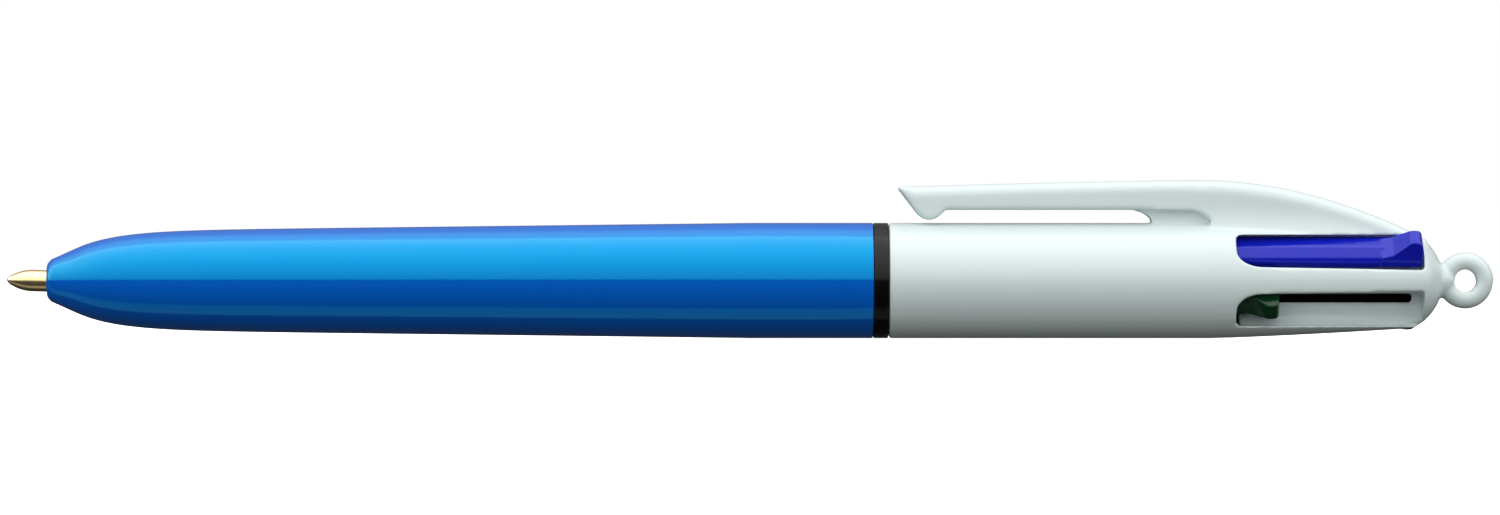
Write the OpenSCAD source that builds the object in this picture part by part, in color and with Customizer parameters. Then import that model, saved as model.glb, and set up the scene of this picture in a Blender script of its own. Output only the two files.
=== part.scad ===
// Multicolor click pen: screw-off lower barrel, four spring-returned colour sliders,
// four bending refills, pocket clip and lanyard ring.
// Pen axis along X, tip towards -X, lanyard ring towards +X, clip on +Z.
// The origin is the centre of the lanyard hole, on the pen axis. Inside the modules X is
// counted from the rear face of the lower barrel, and seat() moves each piece to the origin.

/* [Barrel] */
// Outside diameter of the two barrels where they meet
barrel_d = 11.2; // [10.8:0.1:13.5]
// Length of the lower barrel, nose face to trim ring
lower_len = 80.2; // [66.8:0.1:96.3]
// Diameter of the flat nose face
nose_d = 3.7; // [3.5:0.1:4.6]
// Length of the round straight stretch at the rear of the lower barrel
grip_len = 12; // [10:0.5:16]
// Wall of the lower barrel along the refills
lower_wall = 1.15; // [0.95:0.05:1.4]
// Width of the black ring between the barrels
ring_w = 1.5; // [1:0.1:3]
// Wall of the upper barrel
upper_wall = 0.85; // [0.7:0.05:1]

/* [Sliders] */
// Travel of a slider from retracted to writing
travel = 13.9; // [11.6:0.1:16.7]
// Length of a thumb pad
pad_len = 4; // [3.4:0.1:4.8]
// How far the tail of a slider sinks when its colour is out
tail_dip = 1.15; // [0.9:0.05:1.4]
// Width of a thumb pad
pad_w = 3; // [2.5:0.1:3.1]
// Width of the rib between two windows on one side, at its front
rib_w = 2.6; // [2.3:0.1:2.9]

/* [Refills] */
// Outside diameter of a refill tube
tube_d = 2.35; // [1.95:0.05:2.5]
// Wall of a refill tube
tube_wall = 0.38; // [0.3:0.02:0.45]
// Diameter of the metal point
point_d = 2.1; // [1.75:0.05:2.3]
// How far the ball stands out of the nose when writing
tip_out = 4.0; // [3:0.1:4.8]
// Diameter of the writing ball
ball_d = 0.7; // [0.6:0.1:1.2]
// Distance of the refills from the pen axis
refill_r = 2.45; // [2.4:0.05:2.55]

/* [Springs] */
// Wire of a return spring
wire_d = 0.3; // [0.25:0.01:0.34]
// Turns of a return spring
spring_turns = 12; // [10:1:15]

/* [Clip] */
// Width of the clip
clip_w = 4.2; // [3.5:0.1:5]
// Height of the clip above the barrel
clip_rise = 4.12; // [3.5:0.02:4.9]
// Depth of the clip arm
clip_h = 2.84; // [2.4:0.02:3.2]
// Distance from the trim ring's rear face to the end of the clip
clip_setback = 0.9; // [0.4:0.1:3]
// Length of the clip, end to the flexing root
clip_len = 26.6; // [24:0.1:27]

/* [Thread] */
// Pitch of the barrel thread
pitch = 1.5; // [1.25:0.05:1.8]
// Turns of the barrel thread
thread_turns = 3.6; // [3:0.1:4]

/* [Lanyard ring] */
// Hole through the ring
hole_d = 2.2; // [1.85:0.05:2.6]
// Outside diameter of the ring
loop_d = 5.5; // [5:0.1:6.5]

/* [Show] */
// One sub-part, or all of them

/* [Hidden] */

R = barrel_d / 2;
running = 0.05;                       // clearance where a part slides or turns in another
gap = 0.12;                           // clearance in the thread and around the spigot

// lower barrel
nose_x = -lower_len;
cone_len = 2.8;                       // straight cone behind the nose face
cone_slope = 0.45;
ease_len = 3.8;                       // length over which the cone eases into the barrel
ease_rise = (cone_slope - 0.012) * ease_len;
cone_r = nose_d / 2 + 0.05 + cone_slope * cone_len;
taper_end = lower_len - grip_len;
taper_slope = (R - cone_r - ease_rise) / (taper_end - cone_len);
nose_bore = point_d / 2 + 0.2;
nose_land = 3.0;                      // length of the nose bore
function lower_r(s) = s < cone_len ? nose_d / 2 + 0.05 + cone_slope * s
  : min(R, cone_r + ease_rise * (1 - exp(-(s - cone_len) / ease_len)) + taper_slope * (s - cone_len));

// spigot and thread
spigot_len = 9;
spigot_r = 4.55 + (R - 5.6);
ridge_h = 0.3;
spigot_bore = spigot_r - 0.4;
thread_end = -1.5;
thread_start = thread_end - pitch * thread_turns;
ring_bore = spigot_r + ridge_h + 0.1; // the trim ring passes over the thread
flange = 0.6;                         // flange of the refill guide in front of the spigot

// upper barrel
upper_x = ring_w;
window_x = upper_x + 33.5;
end_room = 0.2;                       // room behind a thumb pad in its window
window_len = travel + pad_len + end_room + 0.1;
window_end = window_x + window_len;
shoulder_x = window_x - 2;            // where the outside starts to taper
tail_x = window_end + 2;              // where the neck of the ring leaves the cap
taper_len = window_len + 0.3;
cap_r = 5.1 * R / 5.6;
cap_x = tail_x + 0.2 - cap_r;
function barrel_taper(x) = R - 0.9 * pow(max(0, (x - shoulder_x) / taper_len), 1.3);
function upper_r(x) = x < cap_x ? barrel_taper(x)
  : min(barrel_taper(x), sqrt(max(0.04, cap_r * cap_r - pow(x - cap_x, 2))));
cavity_x = 8;                         // the wide cavity starts behind the spigot bore
window_top = R - 1.22;
rib_taper = 0.26;                     // each side of the rib gives way by this towards the rear
funnel_len = 2.6;                     // the front end of a window opens gradually from the rib
funnel_h = 1.6;
loop_x = tail_x + loop_d / 2 - 0.4;

// colours: side of the pen (y sign), height (z sign)
BLUE = [-1, 1];
RED = [1, 1];
BLACK = [1, -1];
GREEN = [-1, -1];
q = refill_r / sqrt(2);

// sliders, in the retracted position
boss_x = window_x - 4;                // front face of the spring seat
boss_r = 1.5;
bar_x = window_x - 1.2;
slider_end = window_end - end_room;
pad_x = slider_end - pad_len;
pivot_x = boss_x + 1;
rock = atan(tail_dip / (slider_end - pivot_x));
pad_top = R + 0.4;                    // a pad stands out of the barrel by this
bar_k = (R - upper_wall) / 4.75;      // the slider section grows with the cavity

// refills, in the retracted position
ball_x = nose_x - tip_out + travel;
point_cone = 2.2;
point_len = 10;
tube_front = ball_x + point_len;
rock_gap = 0.14;                      // a rocking slider clears its refill and its spring by this
tube_end = boss_x - rock_gap;
guide_front = -spigot_len - flange;
elbow_x = guide_front + travel;       // the refill bends here, in front of the guide
lean = atan(refill_r / (-nose_x + tip_out / 2 + guide_front));
guide_rear = -1;
hole_r = tube_d / 2 + 0.12;

// springs
coil_r = tube_d / 2 + 0.1 + wire_d / 2;

// clip
clip_top = R + clip_rise;
clip_end = upper_x + clip_setback;
arm_w = clip_w / 2;
hinge_r = clip_h / 2;
hinge_x = clip_end + clip_len;
hinge_z = clip_top - hinge_r;
arm_low = clip_top - clip_h;
web_half = 1.2;
pad_gap = 0.3;                        // clip pad above the barrel

$fn = 48;

// ---------- helpers ----------
module along_x(x0, x1, r, r2 = -1) translate([x0, 0, 0]) rotate([0, 90, 0])
  cylinder(h = x1 - x0, r1 = r, r2 = r2 < 0 ? r : r2);
module along_y(r, w) rotate([90, 0, 0]) cylinder(h = w, r = r, center = true);
module revolve_x(pts) rotate([0, 90, 0]) rotate_extrude($fn = 64) polygon([for (p = pts) [p[1], p[0]]]);
module side_cut(w) rotate([90, 0, 0]) linear_extrude(height = w, center = true) children();

// closed sweep through rings of equal length, given as lists of points
module sweep(rings) {
  n = len(rings[0]);
  m = len(rings);
  polyhedron(points = [for (r = rings) each r],
    faces = concat([[for (i = [0 : n - 1]) i]], [[for (i = [n - 1 : -1 : 0]) (m - 1) * n + i]],
      [for (j = [0 : m - 2]) for (i = [0 : n - 1]) let (a = j * n + i, b = j * n + (i + 1) % n) [a, a + n, b + n]],
      [for (j = [0 : m - 2]) for (i = [0 : n - 1]) let (a = j * n + i, b = j * n + (i + 1) % n) [a, b + n, b]]),
    convexity = 10);
}

// helical ridge on radius r, g grows it on every side
module ridge(x0, x1, r, h, half, g) {
  step = 15;
  turns = (x1 - x0) / pitch;
  n = ceil(turns * 360 / step);
  function row(a) = let (x = thread_start + pitch * a / 360)
    [for (p = [[-half - h * 0.5 - g, -0.3], [half + h * 0.5 + g, -0.3], [half + g, h + g], [-half - g, h + g]])
      [x + p[0], (r + p[1]) * cos(a), (r + p[1]) * sin(a)]];
  a0 = 360 * (x0 - thread_start) / pitch;
  sweep([for (i = [0 : n]) row(a0 + i * turns * 360 / n)]);
}

module seat() translate([-loop_x, 0, 0]) children();

// a colour's side of the pen: children are drawn for the upper front one
module quarter(c) seat() mirror([0, 0, c[1] < 0 ? 1 : 0]) mirror([0, c[0] > 0 ? 1 : 0, 0]) children();

// the front part of a refill leans in towards the pen axis; the tail of a slider sinks towards the middle
module lean_in(x, deg) translate([x, -q, q]) rotate(a = -deg, v = [0, 1, 1]) translate([-x, q, -q]) children();
module sink(x, deg) translate([x, 0, q]) rotate([0, deg, 0]) translate([-x, 0, -q]) children();

// the forward, writing position of a slider and of a refill's front part
module slider_at(out) { if (out) translate([-travel, 0, 0]) sink(pivot_x, rock) children(); else children(); }
module front_at(out) { if (out) translate([-travel, 0, 0]) lean_in(elbow_x, lean) children(); else children(); }
module rear_at(out) { translate([out ? -travel : 0, 0, 0]) children(); }

// ---------- barrels ----------
module lower_barrel() color([0.10, 0.48, 0.88]) seat() {
  s0 = 0.35;
  difference() {
    revolve_x(concat([[nose_x, 0], [nose_x, nose_d / 2 - 0.25], [nose_x + 0.1, nose_d / 2 - 0.07]],
      [[nose_x + s0, lower_r(s0)]],
      [for (s = [1 : 0.75 : 24]) [nose_x + s, lower_r(s)]],
      [for (s = [26 : 6 : taper_end - 1]) [nose_x + s, lower_r(s)]],
      [[-grip_len, R], [0, R], [0, 0]]));
    revolve_x(concat([[nose_x - 1, 0], [nose_x - 1, nose_bore], [nose_x + nose_land, nose_bore],
      [nose_x + nose_land + 7, lower_r(nose_land + 7) - lower_wall]],
      [for (s = [nose_land + 9 : 2 : 26]) [nose_x + s, lower_r(s) - lower_wall]],
      [[-spigot_len - 3, min(lower_r(taper_end) - lower_wall, spigot_r + gap)],
        [-spigot_len - 2, spigot_r + gap], [1, spigot_r + gap], [1, 0]]));
    ridge(thread_start - pitch / 2, 1, spigot_r + gap, ridge_h, 0.2, gap);
  }
}

module trim_ring() color([0.03, 0.03, 0.03]) seat() revolve_x([[running, ring_bore],
  [running, R - 0.1], [running + 0.08, R - 0.02], [ring_w - running - 0.08, R - 0.02],
  [ring_w - running, R - 0.1], [ring_w - running, ring_bore]]);

// window outline in the side view, seen from -Y
module window_2d() {
  r = 0.5;
  low = rib_w / 2;
  polygon(concat(
    [for (a = [180 : 10 : 270]) [window_x + funnel_len * (1 + cos(a)), low + funnel_h * (1 + sin(a))]],
    [[window_end, low - rib_taper], [window_end, window_top]],
    [for (a = [90 : 15 : 180]) [window_x + r + r * cos(a), window_top - r + r * sin(a)]]));
}

module upper_shell() revolve_x(concat([[upper_x, 0], [upper_x, R - 0.12], [upper_x + 0.12, R], [shoulder_x, R]],
  [for (i = [1 : 10]) let (x = shoulder_x + i * (window_end - 1 - shoulder_x) / 10) [x, upper_r(x)]],
  [for (i = [1 : 8]) let (x = window_end - 1 + i * (tail_x - 0.1 - window_end + 1) / 8) [x, upper_r(x)]],
  [[tail_x - 0.1, 0]]));

module cavity(grow = 0) revolve_x(concat([[-spigot_len - 1, 0], [-spigot_len - 1, spigot_bore], [cavity_x - 1, spigot_bore],
  [cavity_x, R - upper_wall + grow], [shoulder_x, R - upper_wall + grow]],
  [for (i = [1 : 6]) let (x = shoulder_x + i * (window_end + grow - shoulder_x) / 6) [x, barrel_taper(x) - upper_wall + grow]],
  [[window_end + grow, 0]]));

// raised fairing that carries the clip
function fair_top(x) = clip_top + 0.02 - 3.54 * pow(max(0, (x - hinge_x - 3) / (window_end - 4.3 - hinge_x - 3)), 1.93)
  - 6 * pow(max(0, (x - window_end - 0.3) / 1.5), 2);
function fair_ring(x) = let (zt = fair_top(x), zb = min(R - 2.2, zt - 1.4),
    zf = max(zb + 0.3, min(arm_low, zt - 1.3)), rt = min(1.2, zt - zf), wb = R * 0.56 - 1.2 * max(0, x - window_end))
  concat([for (i = [0 : 5]) let (t = i / 5) [x, arm_w + (wb - arm_w) * pow(1 - t, 2), zb + (zf - zb) * t]],
    [for (i = [0 : 6]) let (a = 15 * i) [x, arm_w - rt + rt * cos(a), zt - rt + rt * sin(a)]],
    [for (i = [6 : -1 : 0]) let (a = 15 * i) [x, -arm_w + rt - rt * cos(a), zt - rt + rt * sin(a)]],
    [for (i = [5 : -1 : 0]) let (t = i / 5) [x, -arm_w - (wb - arm_w) * pow(1 - t, 2), zb + (zf - zb) * t]]);

// arch of the side recess and of the web, in the side view
module arch_2d(x, len) polygon(concat([[x - 8, R - 0.9], [x - 8, arm_low]],
  [for (a = [0 : 10 : 90]) [x + len * sin(a), R - 0.1 + (arm_low - R + 0.1) * cos(a)]], [[x + len, R - 0.9]]));

module clip_root() difference() {
  union() {
    difference() {
      sweep([for (i = [0 : 23])
        fair_ring(i < 21 ? hinge_x + i * (window_end - hinge_x) / 20 : window_end + (i - 20) * 0.3)]);
      for (s = [-1, 1]) translate([0, s * (web_half + 3), 0]) side_cut(6) arch_2d(hinge_x + 1.1, 2.6);
    }
    difference() {
      side_cut(2 * web_half) polygon([[hinge_x - 4.4, R - 1], [hinge_x - 4.4, arm_low - 0.1],
        [hinge_x + 5, arm_low - 0.1], [hinge_x + 5, R - 1]]);
      side_cut(9) arch_2d(hinge_x - 4.3, 2.4);
    }
  }
  translate([hinge_x, 0, hinge_z]) along_y(hinge_r + 0.1, 20);
}

// keels above and below the middle part the two sides; they run 0.3 mm into the wall that they stand on
function keel_half(a) = 0.3 + 1.6 * (1 - cos(a));
module keels() intersection() {
  cavity(0.3);
  for (m = [0, 1]) mirror([0, 0, m]) translate([window_x + 0.5, 0, 0]) rotate([90, 0, 90])
    linear_extrude(height = window_len) polygon(bar_k * concat(
      [for (i = [0 : 6]) [-keel_half(15 * i), 2.1 + 2.4 * sin(15 * i)]], [[-1.9, 5.3], [1.9, 5.3]],
      [for (i = [6 : -1 : 0]) [keel_half(15 * i), 2.1 + 2.4 * sin(15 * i)]]));
}

// web between the keels at the rear end of the windows
module end_web() translate([window_end - 0.9, -0.2, -2.9 * bar_k]) cube([1.4, 0.4, 5.8 * bar_k]);

module loop() difference() {
  union() {
    translate([loop_x, 0, 0]) rotate([90, 0, 0]) rotate_extrude($fn = 48) difference() {
      translate([loop_d / 2 - 0.95, 0]) circle(r = 0.95, $fn = 32);
      translate([0, -2]) square([hole_d / 2, 4]);
    }
    along_x(tail_x - 1.4, tail_x + 1.2, 2.6, 0.9);
  }
  translate([loop_x, 0, 0]) along_y(hole_d / 2, 20);
}

module upper_barrel() color([0.90, 0.93, 0.94]) seat() {
  difference() {
    union() {
      difference() {
        union() {
          upper_shell();
          along_x(-spigot_len, upper_x + 1, spigot_r);
          clip_root();
        }
        cavity();
        for (m = [0, 1]) mirror([0, 0, m]) for (s = [-1, 1]) translate([0, s * 5.3, 0]) side_cut(9.4) window_2d();
      }
      ridge(thread_start, thread_end, spigot_r, ridge_h, 0.2, 0);
      loop();
      along_x(window_x + 1, window_end + 0.5, 1);
      keels();
      end_web();
    }
    along_x(-spigot_len - 1, cavity_x, spigot_bore);
  }
}

module refill_guide() color([0.88, 0.90, 0.90]) seat() difference() {
  union() {
    along_x(-spigot_len, guide_rear, spigot_bore - 0.02);
    along_x(-spigot_len - flange, -spigot_len, spigot_bore + 0.25);
  }
  for (c = [BLUE, RED, BLACK, GREEN]) translate([0, c[0] * q, c[1] * q]) along_x(-spigot_len - 2, 1, hole_r);
  along_x(-spigot_len - 2, 1, 0.8);
}

// ---------- clip ----------
function arm_top(x) = clip_top - 0.62 * pow((hinge_x - x) / clip_len, 1.3);
pad_at = clip_end + 3.1;
function arm_bottom(x) = x > pad_at + 1.5 ? arm_low
  : x > pad_at - 1.5 ? R + pad_gap + (arm_low - R - pad_gap) * pow((x - pad_at) / 1.5, 2)
  : arm_low + (pad_at - 1.5 - x) * (arm_top(clip_end) - 0.12 - arm_low) / (pad_at - 1.5 - clip_end);
function arm_ring(x, w) = let (zt = arm_top(x), zb = arm_bottom(x), h = zt - zb,
    rt = min(1.1, h / 2), rb = min(0.3, h / 4))
  concat([for (i = [0 : 3]) let (a = 270 + 30 * i) [x, w - rb + rb * cos(a), zb + rb + rb * sin(a)]],
    [for (i = [0 : 6]) let (a = 15 * i) [x, w - rt + rt * cos(a), zt - rt + rt * sin(a)]],
    [for (i = [6 : -1 : 0]) let (a = 15 * i) [x, -w + rt - rt * cos(a), zt - rt + rt * sin(a)]],
    [for (i = [3 : -1 : 0]) let (a = 270 + 30 * i) [x, -w + rb - rb * cos(a), zb + rb + rb * sin(a)]]);

module clip_arm() color([0.88, 0.92, 0.92]) seat() {
  xs = concat([for (i = [0 : 3]) clip_end + i * 0.4], [for (i = [0 : 10]) pad_at - 1.5 + i * 0.3],
    [for (i = [1 : 6]) pad_at + 1.5 + i * (hinge_x - pad_at - 1.5) / 6]);
  sweep([for (x = xs) arm_ring(x, arm_w - 0.5 * pow(max(0, (pad_at - x) / 3.1), 2))]);
  translate([hinge_x, 0, hinge_z]) along_y(hinge_r, clip_w);
}

// ---------- sliders ----------
module slider(c, out) quarter(c) slider_at(out) union() {
  translate([bar_x, 0, 0]) rotate([90, 0, 90]) linear_extrude(height = slider_end - bar_x)
    polygon(bar_k * [[-0.9, 2.35], [-1.6, 1.75], [-2.2, 1.25], [-3.1, 1.25], [-3.6, 1.7], [-3.72, 2.2],
      [-3.25, 3.2], [-3.0, 3.43], [-2.3, 3.92], [-1.6, 4.26], [-1.32, 4.18], [-1.15, 3.75], [-0.9, 3.1]]);
  translate([0, -q, q]) along_x(boss_x, bar_x + 0.9, boss_r);
  translate([0, -q, q]) along_x(boss_x - 2.6, boss_x + 0.5, tube_d / 2 - tube_wall - 0.26);
  // thumb pad, square to the diagonal plane
  rotate([45, 0, 0]) intersection() {
    rotate([90, 0, 0]) linear_extrude(height = pad_w + 1, center = true)
      polygon([[pad_x, 3.3], [pad_x, R - 1.2], [pad_x + 1.2, R - 0.9], [slider_end - 1.2, pad_top - 0.08],
        [slider_end - 0.6, pad_top], [slider_end - 0.2, pad_top - 0.15], [slider_end, pad_top - 0.6], [slider_end, 3.3]]);
    translate([pad_x - 1, 0, 0]) rotate([90, 0, 90]) linear_extrude(height = pad_len + 2)
      polygon([for (e = [[-1, 3.2, 0], [-1, R - 1.5, 0], [-1, R - 0.4, 0.35], [-1, pad_top + 0.1, 0.65],
        [1, pad_top + 0.1, 0.65], [1, R - 0.4, 0.35], [1, R - 1.5, 0], [1, 3.2, 0]]) [e[0] * (pad_w / 2 - e[2]), e[1]]]);
  }
}

// ---------- refills ----------
module tube(c, out) quarter(c) difference() {
  union() {
    rear_at(out) translate([0, -q, q]) along_x(elbow_x, tube_end, tube_d / 2);
    front_at(out) translate([0, -q, q]) along_x(tube_front, elbow_x, tube_d / 2);
    if (out) rear_at(out) translate([elbow_x, -q, q]) sphere(r = tube_d / 2 + 0.01);
  }
  rear_at(out) translate([0, -q, q]) along_x(elbow_x, tube_end + 1, tube_d / 2 - tube_wall);
  front_at(out) translate([0, -q, q]) along_x(tube_front - 1, elbow_x, tube_d / 2 - tube_wall);
  if (out) rear_at(out) translate([elbow_x, -q, q]) sphere(r = tube_d / 2 - tube_wall + 0.01);
}

module ink(c, out) quarter(c) {
  r = tube_d / 2 - tube_wall - 0.03;
  rear_at(out) translate([0, -q, q]) along_x(elbow_x, elbow_x + 6, r);
  front_at(out) translate([0, -q, q]) along_x(tube_front + 4.1, elbow_x + 0.1, r - 0.01);
}

module point(c, out) quarter(c) front_at(out) translate([0, -q, q]) difference() {
  plug_r = tube_d / 2 - tube_wall - 0.02;
  revolve_x([[ball_x + 0.3, 0], [ball_x + 0.3, ball_d / 2 - 0.02], [ball_x + 0.95, ball_d / 2 + 0.1],
    [ball_x + point_cone, point_d / 2], [tube_front, point_d / 2], [tube_front, plug_r],
    [tube_front + 4, plug_r], [tube_front + 4, 0]]);
  translate([ball_x + ball_d / 2, 0, 0]) sphere(r = ball_d / 2 + 0.02, $fn = 24);
  along_x(ball_x + 0.5, tube_front + 5, 0.2);
}

module ball(c, out) quarter(c) front_at(out) translate([ball_x + ball_d / 2, -q, q]) sphere(r = ball_d / 2, $fn = 24);

// ---------- springs ----------
module coil(x0, x1) {
  steps = 12;
  sides = 6;
  // the first and last turn are closed
  closed = wire_d + 0.05;
  function fx(t) = t < 1 ? x0 + t * closed
    : t > spring_turns - 1 ? x1 - (spring_turns - t) * closed
    : x0 + closed + (t - 1) * (x1 - x0 - 2 * closed) / (spring_turns - 2);
  function wire(t, b) = let (r = coil_r + wire_d / 2 * cos(b))
    [fx(t) + wire_d / 2 * sin(b), r * cos(360 * t), r * sin(360 * t)];
  sweep([for (i = [0 : spring_turns * steps]) [for (k = [0 : sides - 1]) wire(i / steps, 360 * k / sides)]]);
}

module spring(c, out) quarter(c) translate([0, -q, q])
  coil(guide_rear + wire_d / 2 + 0.02, boss_x - (out ? travel : 0) - wire_d / 2 - rock_gap);

blue_c = [0.09, 0.13, 0.75];
red_c = [0.80, 0.06, 0.08];
black_c = [0.04, 0.04, 0.05];
green_c = [0.02, 0.22, 0.08];
brass_c = [0.80, 0.66, 0.40];
steel_c = [0.70, 0.71, 0.73];
tube_c = [0.85, 0.88, 0.90];

module blue_slider() color(blue_c) slider(BLUE, false);
module blue_spring() color(steel_c) spring(BLUE, false);
module blue_refill_tube() color(tube_c) tube(BLUE, false);
module blue_ink() color(blue_c) ink(BLUE, false);
module blue_point() color(brass_c) point(BLUE, false);
module blue_ball() color(steel_c) ball(BLUE, false);

module red_slider() color(red_c) slider(RED, false);
module red_spring() color(steel_c) spring(RED, false);
module red_refill_tube() color(tube_c) tube(RED, false);
module red_ink() color(red_c) ink(RED, false);
module red_point() color(brass_c) point(RED, false);
module red_ball() color(steel_c) ball(RED, false);

module black_slider() color(black_c) slider(BLACK, false);
module black_spring() color(steel_c) spring(BLACK, false);
module black_refill_tube() color(tube_c) tube(BLACK, false);
module black_ink() color(black_c) ink(BLACK, false);
module black_point() color(brass_c) point(BLACK, false);
module black_ball() color(steel_c) ball(BLACK, false);

module green_slider() color(green_c) slider(GREEN, true);
module green_spring() color(steel_c) spring(GREEN, true);
module green_refill_tube() color(tube_c) tube(GREEN, true);
module green_ink() color(green_c) ink(GREEN, true);
module green_point() color(brass_c) point(GREEN, true);
module green_ball() color(steel_c) ball(GREEN, true);

upper_barrel();
refill_guide();
clip_arm();
trim_ring();
lower_barrel();
blue_slider();
blue_spring();
blue_refill_tube();
blue_ink();
blue_point();
blue_ball();
red_slider();
red_spring();
red_refill_tube();
red_ink();
red_point();
red_ball();
black_slider();
black_spring();
black_refill_tube();
black_ink();
black_point();
black_ball();
green_slider();
green_spring();
green_refill_tube();
green_ink();
green_point();
green_ball();
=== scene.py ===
import bpy
import bmesh
import math
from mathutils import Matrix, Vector


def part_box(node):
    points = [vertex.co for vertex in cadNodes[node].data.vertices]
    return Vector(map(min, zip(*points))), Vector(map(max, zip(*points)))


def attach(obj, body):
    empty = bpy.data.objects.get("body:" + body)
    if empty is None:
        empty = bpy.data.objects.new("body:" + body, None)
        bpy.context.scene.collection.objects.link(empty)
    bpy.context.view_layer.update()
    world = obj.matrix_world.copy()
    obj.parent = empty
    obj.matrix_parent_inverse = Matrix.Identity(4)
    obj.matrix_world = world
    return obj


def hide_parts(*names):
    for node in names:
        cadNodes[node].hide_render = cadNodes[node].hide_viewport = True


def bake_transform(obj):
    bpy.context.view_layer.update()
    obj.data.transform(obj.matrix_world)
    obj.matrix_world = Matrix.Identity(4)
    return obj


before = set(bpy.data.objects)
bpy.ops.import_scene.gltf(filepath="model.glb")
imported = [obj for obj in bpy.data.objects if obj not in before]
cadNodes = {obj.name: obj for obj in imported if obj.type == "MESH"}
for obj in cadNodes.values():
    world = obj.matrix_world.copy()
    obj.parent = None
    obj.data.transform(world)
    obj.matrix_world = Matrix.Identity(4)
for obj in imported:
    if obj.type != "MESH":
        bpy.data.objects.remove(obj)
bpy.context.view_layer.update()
mm = 0.001


def linearChannel(value):
    return value / 12.92 if value <= 0.04045 else ((value + 0.055) / 1.055) ** 2.4


def hexColor(text):  # sRGB hex to the linear values that a shader wants
    return [linearChannel(int(text[i:i + 2], 16) / 255) for i in (1, 3, 5)] + [1.0]


def addNode(tree, kind, settings=None, values=None, links=None):  # links: input -> (node, output)
    node = tree.nodes.new(kind)
    for name, value in (settings or {}).items():
        setattr(node, name, value)
    for name, value in (values or {}).items():
        node.inputs[name].default_value = value
    for name, (source, output) in (links or {}).items():
        tree.links.new(source.outputs[output], node.inputs[name])
    return node


def newMaterial(name, values):
    material = bpy.data.materials.new(name)
    material.use_nodes = True
    tree = material.node_tree
    shader = tree.nodes["Principled BSDF"]
    for socket, value in values.items():
        shader.inputs[socket].default_value = value
    return material, tree, shader


def mouldedPlastic(name, look):  # injection moulded: even colour, a slow waviness in its gloss, a fine skin
    material, tree, shader = newMaterial(name, {
        "Base Color": hexColor(look["color"]), "Roughness": look["roughness"], "IOR": look["ior"],
        "Coat Weight": look.get("coat", 0.0), "Coat Roughness": 0.03, "Specular IOR Level": look.get("shine", 0.5),
        "Specular Tint": hexColor(look.get("tint", "#ffffff")), "Coat Tint": hexColor("#ffffff"),
        "Subsurface Weight": look.get("depth", 0.0), "Subsurface Scale": 0.6 * mm})
    shader.inputs["Subsurface Radius"].default_value = (1.0, 1.0, 1.0)
    place = addNode(tree, "ShaderNodeTexCoord")
    waves = addNode(tree, "ShaderNodeTexNoise", {}, {"Scale": 1 / (look["waveMm"] * mm), "Detail": 2.0},
                    {"Vector": (place, "Object")})
    ramp = addNode(tree, "ShaderNodeMapRange", {}, {"To Min": look["roughness"] * 0.8,
                   "To Max": look["roughness"] * 1.25}, {"Value": (waves, "Fac")})
    tree.links.new(ramp.outputs["Result"], shader.inputs["Roughness"])
    bump = addNode(tree, "ShaderNodeBump", {}, {"Strength": 0.05, "Distance": look["sinkMm"] * mm},
                   {"Height": (waves, "Fac")})
    tree.links.new(bump.outputs["Normal"], shader.inputs["Normal"])
    return material


print("materials")
plastics = {
    "lightBlueAbs": {"color": "#065fce", "roughness": 0.05, "ior": 1.52, "shine": 1.0, "tint": "#30ffec",
                     "waveMm": 9, "sinkMm": 0.01},
    "whiteAbs": {"color": "#d9e6e4", "roughness": 0.2, "ior": 1.52, "shine": 0.35, "depth": 0.1, "waveMm": 7,
                 "sinkMm": 0.01},
    "blackAbs": {"color": "#07080a", "roughness": 0.16, "ior": 1.52, "shine": 0.15, "waveMm": 5, "sinkMm": 0.02},
    "blueAbs": {"color": "#101cb4", "roughness": 0.15, "ior": 1.52, "shine": 0.2, "waveMm": 5, "sinkMm": 0.02},
    "redAbs": {"color": "#c00f16", "roughness": 0.15, "ior": 1.52, "shine": 0.2, "waveMm": 5, "sinkMm": 0.02},
    "darkAbs": {"color": "#0c0d10", "roughness": 0.15, "ior": 1.52, "shine": 0.3, "waveMm": 5, "sinkMm": 0.02},
    # green slider: its colour is darkened to how it looks in the shade of the lower window, which paints shade on top
    # of the green plastic
    "greenAbsPaintedShade": {"color": "#0a3a1c", "roughness": 0.15, "ior": 1.52, "shine": 0.25, "waveMm": 5, "sinkMm": 0.02},
    "acetal": {"color": "#dfe2e0", "roughness": 0.38, "ior": 1.48, "depth": 0.2, "waveMm": 4, "sinkMm": 0.02},
}
made = {name: mouldedPlastic(name, look) for name, look in plastics.items()}


def turnedBrass():  # bar stock turned on a lathe: rings of the tool around the axis
    material, tree, shader = newMaterial("turnedBrass", {"Base Color": hexColor("#d9c38e"), "Metallic": 1.0,
                                                         "Roughness": 0.2})
    place = addNode(tree, "ShaderNodeTexCoord")
    rings = addNode(tree, "ShaderNodeTexWave", {"wave_type": "BANDS", "bands_direction": "X"},
                    {"Scale": 1 / (0.35 * mm), "Distortion": 0.4}, {"Vector": (place, "Object")})
    ramp = addNode(tree, "ShaderNodeMapRange", {}, {"To Min": 0.16, "To Max": 0.3}, {"Value": (rings, "Fac")})
    tree.links.new(ramp.outputs["Result"], shader.inputs["Roughness"])
    return material


def steel(name, color, roughness):  # drawn or polished steel: fine streaks in its gloss
    material, tree, shader = newMaterial(name, {"Base Color": hexColor(color), "Metallic": 1.0,
                                                "Roughness": roughness})
    place = addNode(tree, "ShaderNodeTexCoord")
    streaks = addNode(tree, "ShaderNodeTexNoise", {}, {"Scale": 1 / (0.5 * mm)}, {"Vector": (place, "Object")})
    ramp = addNode(tree, "ShaderNodeMapRange", {}, {"To Min": roughness * 0.8, "To Max": roughness * 1.3},
                   {"Value": (streaks, "Fac")})
    tree.links.new(ramp.outputs["Result"], shader.inputs["Roughness"])
    return material


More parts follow.
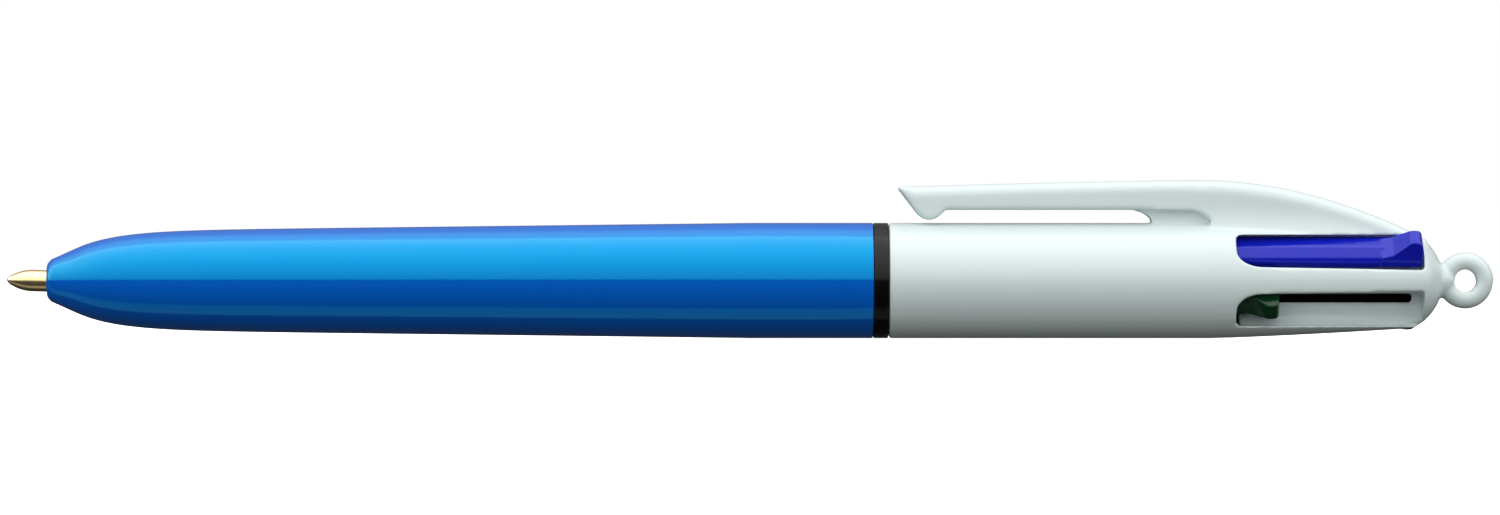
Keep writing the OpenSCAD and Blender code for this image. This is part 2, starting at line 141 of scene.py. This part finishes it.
made["turnedBrass"] = turnedBrass()
made["springSteel"] = steel("springSteel", "#b9bcc0", 0.25)
made["carbideBall"] = steel("carbideBall", "#c9cbd0", 0.08)


def clearTube():  # extruded polypropylene: milky, lets the ink show
    material, tree, shader = newMaterial("clearTube", {"Base Color": hexColor("#eef2f2"), "Roughness": 0.28,
                                                       "IOR": 1.49, "Transmission Weight": 0.75})
    place = addNode(tree, "ShaderNodeTexCoord")
    haze = addNode(tree, "ShaderNodeTexNoise", {}, {"Scale": 1 / (3 * mm)}, {"Vector": (place, "Object")})
    ramp = addNode(tree, "ShaderNodeMapRange", {}, {"To Min": 0.22, "To Max": 0.34}, {"Value": (haze, "Fac")})
    tree.links.new(ramp.outputs["Result"], shader.inputs["Roughness"])
    return material


made["clearTube"] = clearTube()
for colour, text in {"blue": "#0b138f", "red": "#9c0c12", "black": "#060607", "green": "#06401a"}.items():
    made[colour + "Ink"] = mouldedPlastic(colour + "Ink", {"color": text, "roughness": 0.3, "ior": 1.45,
                                                           "waveMm": 3, "sinkMm": 0.02})

looks = {"upper_barrel": "whiteAbs", "refill_guide": "acetal", "clip_arm": "whiteAbs", "trim_ring": "blackAbs",
         "lower_barrel": "lightBlueAbs"}
sliderLook = {"blue": "blueAbs", "red": "redAbs", "black": "darkAbs", "green": "greenAbsPaintedShade"}
for colour, look in sliderLook.items():
    looks.update({colour + "_slider": look, colour + "_spring": "springSteel", colour + "_refill_tube": "clearTube",
                  colour + "_ink": colour + "Ink", colour + "_point": "turnedBrass", colour + "_ball": "carbideBall"})
for name, look in looks.items():
    node = cadNodes[name]
    node.data.materials.clear()
    node.data.materials.append(made[look])


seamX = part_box("lower_barrel")[1][0]  # rear face of the lower barrel: the pieces count from here


def pick(obj, wanted, kind="FACE"):  # edit mode on obj with only the faces, edges or vertices that wanted() likes
    if bpy.context.mode != "OBJECT":
        bpy.ops.object.mode_set(mode="OBJECT")
    bpy.ops.object.select_all(action="DESELECT")
    obj.select_set(True)
    bpy.context.view_layer.objects.active = obj
    bpy.ops.object.mode_set(mode="EDIT")
    bpy.ops.mesh.select_mode(type=kind)
    bpy.ops.mesh.select_all(action="DESELECT")
    mesh = bmesh.from_edit_mesh(obj.data)
    group = {"FACE": mesh.faces, "EDGE": mesh.edges, "VERT": mesh.verts}[kind]
    for item in group:
        if wanted(item):
            item.select_set(True)
    mesh.select_flush_mode()
    bmesh.update_edit_mesh(obj.data)


def leaveEdit():
    bpy.ops.object.mode_set(mode="OBJECT")


def settle(obj, angle=35):  # place into the mesh, doubles merged, faces outwards, smooth but for sharp edges
    pick(obj, lambda item: True, "VERT")
    bpy.ops.mesh.remove_doubles(threshold=0.002 * mm)
    bpy.ops.mesh.normals_make_consistent(inside=False)
    leaveEdit()
    bpy.ops.object.transform_apply(location=True, rotation=True, scale=True)
    bpy.ops.object.shade_smooth_by_angle(angle=math.radians(angle))
    return obj


def applyModifier(obj, kind, **values):
    bpy.ops.object.select_all(action="DESELECT")
    obj.select_set(True)
    bpy.context.view_layer.objects.active = obj
    modifier = obj.modifiers.new(kind.lower(), kind)
    for name, value in values.items():
        setattr(modifier, name, value)
    bpy.ops.object.modifier_apply(modifier=modifier.name)


def turn(name, profile, segments=128):  # a turned piece: a disc drawn out step by step; profile is (x, radius) in mm
    bpy.ops.object.select_all(action="DESELECT")
    x, radius = profile[0]
    bpy.ops.mesh.primitive_circle_add(vertices=segments, radius=radius * mm, fill_type="NOTHING",
                                      location=(seamX + x * mm, 0, 0), rotation=(0, math.pi / 2, 0))
    piece = bpy.context.object
    piece.name = name
    bpy.ops.object.transform_apply(location=True, rotation=True, scale=True)
    pick(piece, lambda item: True, "EDGE")
    for nextX, nextRadius in profile[1:] + profile[:1]:
        bpy.ops.mesh.extrude_edges_move(TRANSFORM_OT_translate={"value": ((nextX - x) * mm, 0, 0)})
        grow = nextRadius / radius
        bpy.ops.transform.resize(value=(1, grow, grow), center_override=(seamX + nextX * mm, 0, 0))
        x, radius = nextX, nextRadius
    leaveEdit()
    return settle(piece)


def copyNode(name, *nodeNames):  # one new mesh from CAD nodes, its loose triangles merged
    bpy.ops.object.select_all(action="DESELECT")
    parts = []
    for nodeName in nodeNames:
        part = cadNodes[nodeName].copy()
        part.data = cadNodes[nodeName].data.copy()
        part.parent = None
        for key in list(part.keys()):
            if key.startswith("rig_"):
                del part[key]
        bpy.context.collection.objects.link(part)
        part.select_set(True)
        parts.append(part)
    bpy.context.view_layer.objects.active = parts[0]
    if len(parts) > 1:
        bpy.ops.object.join()
    piece = bpy.context.object
    piece.name = name
    piece.data.name = name
    pick(piece, lambda item: True, "VERT")
    bpy.ops.mesh.remove_doubles(threshold=0.002 * mm)
    leaveEdit()
    return piece


def keepSide(obj, point, normal):  # cut by a plane, the side that the normal points to is kept, the cut is closed
    pick(obj, lambda item: True, "VERT")
    bpy.ops.mesh.bisect(plane_co=point, plane_no=normal, use_fill=True, clear_inner=True)
    leaveEdit()


def cover(obj, look, slot, *nodeNames):  # its material, and the CAD nodes that it stands for
    obj.data.materials.clear()
    obj.data.materials.append(made[look])
    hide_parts(*nodeNames)


def dress(obj, look, body, slot, *nodeNames):  # the same for a stiff piece, which rides on one body
    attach(obj, body)
    cover(obj, look, slot, *nodeNames)


print("lower barrel")
lowerBarrel = {"length": 80.2, "radius": 5.6, "noseRadius": 1.85, "coneLength": 2.8, "coneSlope": 0.45,
               "easeRise": 1.664, "easeLength": 3.8, "taperEnd": 68.2, "wall": 1.15, "mouth": 4.67, "noseBore": 1.25}


def lowerRadius(fromNose):
    sizes = lowerBarrel
    coneTop = sizes["noseRadius"] + 0.05 + sizes["coneSlope"] * sizes["coneLength"]
    if fromNose < sizes["coneLength"]:
        return sizes["noseRadius"] + 0.05 + sizes["coneSlope"] * fromNose
    beyond = fromNose - sizes["coneLength"]
    slope = (sizes["radius"] - coneTop - sizes["easeRise"]) / (sizes["taperEnd"] - sizes["coneLength"])
    eased = coneTop + sizes["easeRise"] * (1 - math.exp(-beyond / sizes["easeLength"])) + slope * beyond
    return min(sizes["radius"], eased)


def lowerProfile():
    sizes = lowerBarrel
    length = sizes["length"]
    steps = [0.35] + [0.75 + 0.5 * i for i in range(48)] + [25 + 2 * i for i in range(21)]
    outside = [(-length, sizes["noseRadius"] - 0.25), (-length + 0.03, sizes["noseRadius"] - 0.15),
               (-length + 0.1, sizes["noseRadius"] - 0.07)] + [(s - length, lowerRadius(s)) for s in steps]
    outside += [(-sizes["length"] + sizes["taperEnd"], sizes["radius"]), (-6, sizes["radius"]),
                (-0.12, sizes["radius"]), (-0.04, sizes["radius"] - 0.03), (0, sizes["radius"] - 0.1)]
    inside = [(0, sizes["mouth"] + 0.15), (-0.15, sizes["mouth"]), (-11, sizes["mouth"]),
              (-12, lowerRadius(sizes["taperEnd"]) - sizes["wall"] - 0.03)]
    inside += [(s - length, lowerRadius(s) - sizes["wall"]) for s in (60, 45, 30, 24, 18, 14, 10)]
    inside += [(3.0 - length, sizes["noseBore"]), (0.12 - length, sizes["noseBore"]),
               (-length, sizes["noseBore"] + 0.1)]
    return outside + inside


barrel = turn("lowerBarrelShell", lowerProfile(), 160)
dress(barrel, "lightBlueAbs", "lower", "light_blue_plastic", "lower_barrel")

print("trim ring")
trimRing = {"front": 0.04, "back": 1.46, "radius": 5.6, "bore": 4.95, "edge": 0.07}


def ringProfile():
    sizes = trimRing
    front, back, radius, edge = sizes["front"], sizes["back"], sizes["radius"], sizes["edge"]
    return [(front, sizes["bore"]), (front, radius - edge), (front + 0.3 * edge, radius - 0.3 * edge),
            (front + edge, radius), (back - edge, radius), (back - 0.3 * edge, radius - 0.3 * edge),
            (back, radius - edge), (back, sizes["bore"])]


ring = turn("trimRingShell", ringProfile())
dress(ring, "blackAbs", "collar", "black_plastic", "trim_ring")

print("upper barrel and clip")
upperShell = {"voxel": 0.16, "soften": 6, "armEnd": 27.4}
rootBlock = {"from": 27.2, "to": 31.0, "width": 4.2, "low": 6.88, "high": 9.73, "edge": 1.1}
middleWall = {"from": 35.8, "to": 53.6, "width": 0.9, "height": 2.5}
clipPiece = {"cutX": 33.0, "cutZ": 5.72, "foot": 0.35, "bendFrom": 33.0, "bendTo": 26.5}


def rootPlug():  # fills the joint between clip and barrel: the real clip bends here in one piece
    sizes = rootBlock
    middle = (sizes["low"] + sizes["high"]) / 2 * mm
    bpy.ops.object.select_all(action="DESELECT")
    bpy.ops.mesh.primitive_cube_add(
        size=1, location=(seamX + (sizes["from"] + sizes["to"]) / 2 * mm, 0, middle),
        scale=((sizes["to"] - sizes["from"]) * mm, sizes["width"] * mm, (sizes["high"] - sizes["low"]) * mm))
    plug = bpy.context.object
    bpy.ops.object.transform_apply(location=True, rotation=True, scale=True)
    pick(plug, lambda edge: abs(edge.verts[0].co.x - edge.verts[1].co.x) > mm and edge.verts[0].co.z > middle, "EDGE")
    bpy.ops.mesh.bevel(offset=sizes["edge"] * mm, segments=6)
    leaveEdit()
    return plug


def middleFin():  # stands in the middle between the sliders, behind the ribs
    sizes = middleWall
    bpy.ops.object.select_all(action="DESELECT")
    bpy.ops.mesh.primitive_cube_add(
        size=1, location=(seamX + (sizes["from"] + sizes["to"]) / 2 * mm, 0, 0),
        scale=((sizes["to"] - sizes["from"]) * mm, sizes["width"] * mm, sizes["height"] * mm))
    piece = bpy.context.object
    bpy.ops.object.transform_apply(location=True, rotation=True, scale=True)
    return piece


def joinPieces(first, *others):
    bpy.ops.object.select_all(action="DESELECT")
    for piece in (first,) + others:
        piece.select_set(True)
    bpy.context.view_layer.objects.active = first
    bpy.ops.object.join()
    return first


def twin(obj, name):
    copy = obj.copy()
    copy.data = obj.data.copy()
    copy.name = name
    copy.data.name = name
    bpy.context.collection.objects.link(copy)
    return copy


arm = copyNode("clipArmShell", "clip_arm")
keepSide(arm, (seamX + upperShell["armEnd"] * mm, 0, 0), (-1, 0, 0))
upper = joinPieces(copyNode("upperBarrelShell", "upper_barrel"), arm, rootPlug(), middleFin())
applyModifier(upper, "REMESH", mode="VOXEL", voxel_size=upperShell["voxel"] * mm)
applyModifier(upper, "SMOOTH", factor=0.5, iterations=upperShell["soften"])
clip = twin(upper, "pocketClip")
cutX, cutZ = seamX + clipPiece["cutX"] * mm, clipPiece["cutZ"] * mm
keepSide(clip, (cutX, 0, 0), (-1, 0, 0))  # the clip: what is in front of its root and above the barrel
keepSide(clip, (0, 0, cutZ), (0, 0, 1))
pick(clip, lambda face: face.normal.z < -0.99 and abs(face.calc_center_median().z - cutZ) < 0.01 * mm)
bpy.ops.mesh.extrude_region_move(TRANSFORM_OT_translate={"value": (0, 0, -clipPiece["foot"] * mm)})
leaveEdit()
settle(clip, 50)
front = twin(upper, "upperFront")  # the barrel below the clip
keepSide(front, (cutX, 0, 0), (-1, 0, 0))
keepSide(front, (0, 0, cutZ), (0, 0, -1))
keepSide(upper, (cutX, 0, 0), (1, 0, 0))
settle(upper, 50)
settle(front, 50)
upper = joinPieces(upper, front)
dress(upper, "whiteAbs", "upper", "white_plastic", "upper_barrel")
cover(clip, "whiteAbs", "white_plastic", "clip_arm")
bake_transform(clip)

print("sliders")
sliderSizes = {"voxel": 0.08, "soften": 6}
for colour, look in sliderLook.items():
    slider = copyNode(colour + "Slider", colour + "_slider")
    applyModifier(slider, "REMESH", mode="VOXEL", voxel_size=sliderSizes["voxel"] * mm)
    applyModifier(slider, "SMOOTH", factor=0.5, iterations=sliderSizes["soften"])
    settle(slider, 180)
    dress(slider, look, colour + "_button", colour + "_slider_plastic", colour + "_slider")

print("refills and springs")
refillSizes = {"bendHalf": 3.0, "bendSteps": 8, "elbow": 4.3, "travel": 13.9, "springFrom": -0.9,
               "springTo": 31.0}


def ringCuts(obj, fromX, toX, count):  # more rings of points, so that a piece bends smoothly
    for i in range(count + 1):
        pick(obj, lambda item: True, "VERT")
        bpy.ops.mesh.bisect(plane_co=(seamX + (fromX + (toX - fromX) * i / count) * mm, 0, 0), plane_no=(1, 0, 0))
    leaveEdit()


for colour in sliderLook:
    sizes = refillSizes
    shift = -sizes["travel"] if colour == "green" else 0  # green is the one that writes
    elbow = sizes["elbow"] + shift
    for part, look, slotName in (("refill_tube", "clearTube", "tube_plastic"),
                                 ("ink", colour + "Ink", colour + "_ink")):
        piece = copyNode(colour + part.title().replace("_", ""), colour + "_" + part)
        ringCuts(piece, elbow - sizes["bendHalf"], elbow + sizes["bendHalf"], sizes["bendSteps"])
        settle(piece)
        cover(piece, look, slotName, colour + "_" + part)
        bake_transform(piece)
    coil = copyNode(colour + "Coil", colour + "_spring")
    settle(coil, 60)
    cover(coil, "springSteel", "spring_steel", colour + "_spring")
    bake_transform(coil)

print("points")
pointSizes = {"tip": -70.3, "length": 10.0, "radius": 1.05, "plug": 0.775, "plugLength": 4.0, "bore": 0.2,
              "fromAxis": 2.45, "lean": math.atan(2.45 / 72.6),
              "nose": ((0.25, 0.4), (0.35, 0.46), (0.5, 0.52), (0.7, 0.63), (0.9, 0.72), (1.15, 0.82),
                       (1.4, 0.9), (1.7, 0.97), (2.0, 1.02), (2.3, 1.05))}  # behind the tip, radius
sideOf = {"blue": (-1, 1), "red": (1, 1), "black": (1, -1), "green": (-1, -1)}


def pointProfile():
    sizes = pointSizes
    tip, back = sizes["tip"], sizes["tip"] + sizes["length"]
    end = back + sizes["plugLength"]
    return ([(tip + 0.25, 0.36)] + [(tip + s, radius) for s, radius in sizes["nose"]] +
            [(back - 0.08, sizes["radius"]), (back, sizes["radius"] - 0.08), (back, sizes["plug"]),
             (end, sizes["plug"]), (end, sizes["bore"]), (tip + 0.75, sizes["bore"]), (tip + 0.65, 0.26)])


for colour, side in sideOf.items():
    sizes = pointSizes
    away = sizes["fromAxis"] * math.sqrt(0.5) * mm
    piece = turn(colour + "TurnedPoint", pointProfile(), 64)
    elbowFrom = Vector((seamX + refillSizes["elbow"] * mm, 0, 0))
    elbowTo = Vector((elbowFrom.x, side[0] * away, side[1] * away))
    lean = 0.0
    if colour == "green":  # the one that writes: pushed forward and leaning in to the pen's axis
        elbowTo.x -= refillSizes["travel"] * mm
        lean = sizes["lean"]
    inward = math.sin(lean) * math.sqrt(0.5)
    ahead = Vector((-math.cos(lean), -side[0] * inward, -side[1] * inward))
    swing = Vector((-1, 0, 0)).rotation_difference(ahead)
    piece.rotation_mode = "QUATERNION"
    piece.rotation_quaternion = swing
    piece.location = elbowTo - swing @ elbowFrom
    settle(piece)
    piece.rotation_mode = "XYZ"
    dress(piece, "turnedBrass", colour + "_tip", "brass", colour + "_point")

print("stage")
stageSizes = {"floorSize": 3.0, "drop": 0.1 * mm, "paper": "#f4f5f5"}
bpy.ops.object.select_all(action="DESELECT")
bpy.ops.mesh.primitive_plane_add(size=stageSizes["floorSize"],
                                 location=(0, 0, -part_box("lower_barrel")[1][2] - stageSizes["drop"]))
floor = bpy.context.object
floor.name = "floor"
floor.visible_glossy = False
floor.visible_diffuse = False
paper, paperTree, paperShader = newMaterial("paper", {
    "Base Color": hexColor(stageSizes["paper"]), "Roughness": 0.9, "Specular IOR Level": 0.0,
    "Emission Color": (1, 1, 1, 1), "Emission Strength": 0.8})
floor.data.materials.append(paper)

studio = {  # soft boxes around the pen's axis: degrees from the front, up is positive, and how bright
    "mirrored": [(-180, 0.04), (-86, 0.05), (-82, 0.5), (-60, 0.4), (-56, 0.06), (-20, 0.08), (1, 0.1), (4, 1.6),
                 (30, 2.5), (60, 3.4), (97, 3.8), (103, 2.2), (115, 1.6), (130, 0.6), (150, 0.3), (180, 0.1)],
    "onMatt": [(-180, 0.1), (-90, 0.1), (-3, 0.1), (3, 1.3), (85, 1.3), (105, 1.1), (130, 0.7), (180, 0.5)]}
world = bpy.data.worlds.new("studio")
bpy.context.scene.world = world
world.use_nodes = True
sky = world.node_tree
place = addNode(sky, "ShaderNodeTexCoord")
split = addNode(sky, "ShaderNodeSeparateXYZ", {}, {}, {"Vector": (place, "Generated")})
ahead = addNode(sky, "ShaderNodeMath", {"operation": "MULTIPLY"}, {1: -1.0}, {0: (split, "Y")})
around = addNode(sky, "ShaderNodeMath", {"operation": "ARCTAN2"}, {}, {0: (split, "Z"), 1: (ahead, "Value")})
share = addNode(sky, "ShaderNodeMapRange", {}, {"From Min": -math.pi, "From Max": math.pi},
                {"Value": (around, "Value")})


def boxLight(steps):  # the ramp holds a quarter of each level, because its colours stop at 1
    bands = addNode(sky, "ShaderNodeValToRGB", {}, {}, {"Fac": (share, "Result")})
    ramp = bands.color_ramp
    ramp.elements[0].position = 0.0
    ramp.elements[1].position = 1.0
    for degrees, level in steps[1:-1]:
        ramp.elements.new((degrees + 180) / 360)
    for element, (degrees, level) in zip(ramp.elements, steps):
        element.color = (level / 4, level / 4, level / 4, 1)
    return addNode(sky, "ShaderNodeBackground", {}, {"Strength": 4.0}, {"Color": (bands, "Color")})


mirrored = boxLight(studio["mirrored"])
onMatt = boxLight(studio["onMatt"])
plainWhite = addNode(sky, "ShaderNodeBackground", {}, {"Color": (1, 1, 1, 1), "Strength": 1.0})
path = addNode(sky, "ShaderNodeLightPath")
inside = addNode(sky, "ShaderNodeMixShader", {}, {}, {"Fac": (path, "Is Glossy Ray"), 1: (onMatt, "Background"),
                                                     2: (mirrored, "Background")})
mix = addNode(sky, "ShaderNodeMixShader", {}, {}, {"Fac": (path, "Is Camera Ray"), 1: (inside, "Shader"),
                                                  2: (plainWhite, "Background")})
sky.links.new(mix.outputs["Shader"], sky.nodes["World Output"].inputs["Surface"])


def softBox(name, place, aim, size, power):
    light = bpy.data.lights.new(name, "AREA")
    light.shape = "RECTANGLE"
    light.size, light.size_y = size
    light.energy = power
    lamp = bpy.data.objects.new(name, light)
    bpy.context.collection.objects.link(lamp)
    lamp.location = place
    lamp.rotation_euler = (Vector(aim) - Vector(place)).to_track_quat("-Z", "Y").to_euler()
    lamp.visible_glossy = False
    return lamp


softBox("topLight", (-0.07, -0.25, 0.55), (-0.07, 0, 0), (0.6, 0.35), 0.5)
softBox("fillLight", (-0.36, -0.5, 0.2), (-0.06, 0, 0), (0.4, 0.3), 0.12)

cameraSizes = {"lens": 150.0, "sensor": 36.0, "frameWidth": 145.8 * mm, "aimX": -69.5 * mm, "aimZ": 2.24 * mm}
camera = bpy.data.objects.new("camera", bpy.data.cameras.new("camera"))
bpy.context.collection.objects.link(camera)
camera.data.lens = cameraSizes["lens"]
camera.data.sensor_width = cameraSizes["sensor"]
camera.data.clip_start = 0.01
distance = cameraSizes["frameWidth"] * cameraSizes["lens"] / cameraSizes["sensor"]
camera.location = (cameraSizes["aimX"], -distance, cameraSizes["aimZ"])
camera.rotation_euler = (math.pi / 2, 0, 0)
bpy.context.scene.camera = camera
bpy.context.scene.view_settings.view_transform = "Standard"
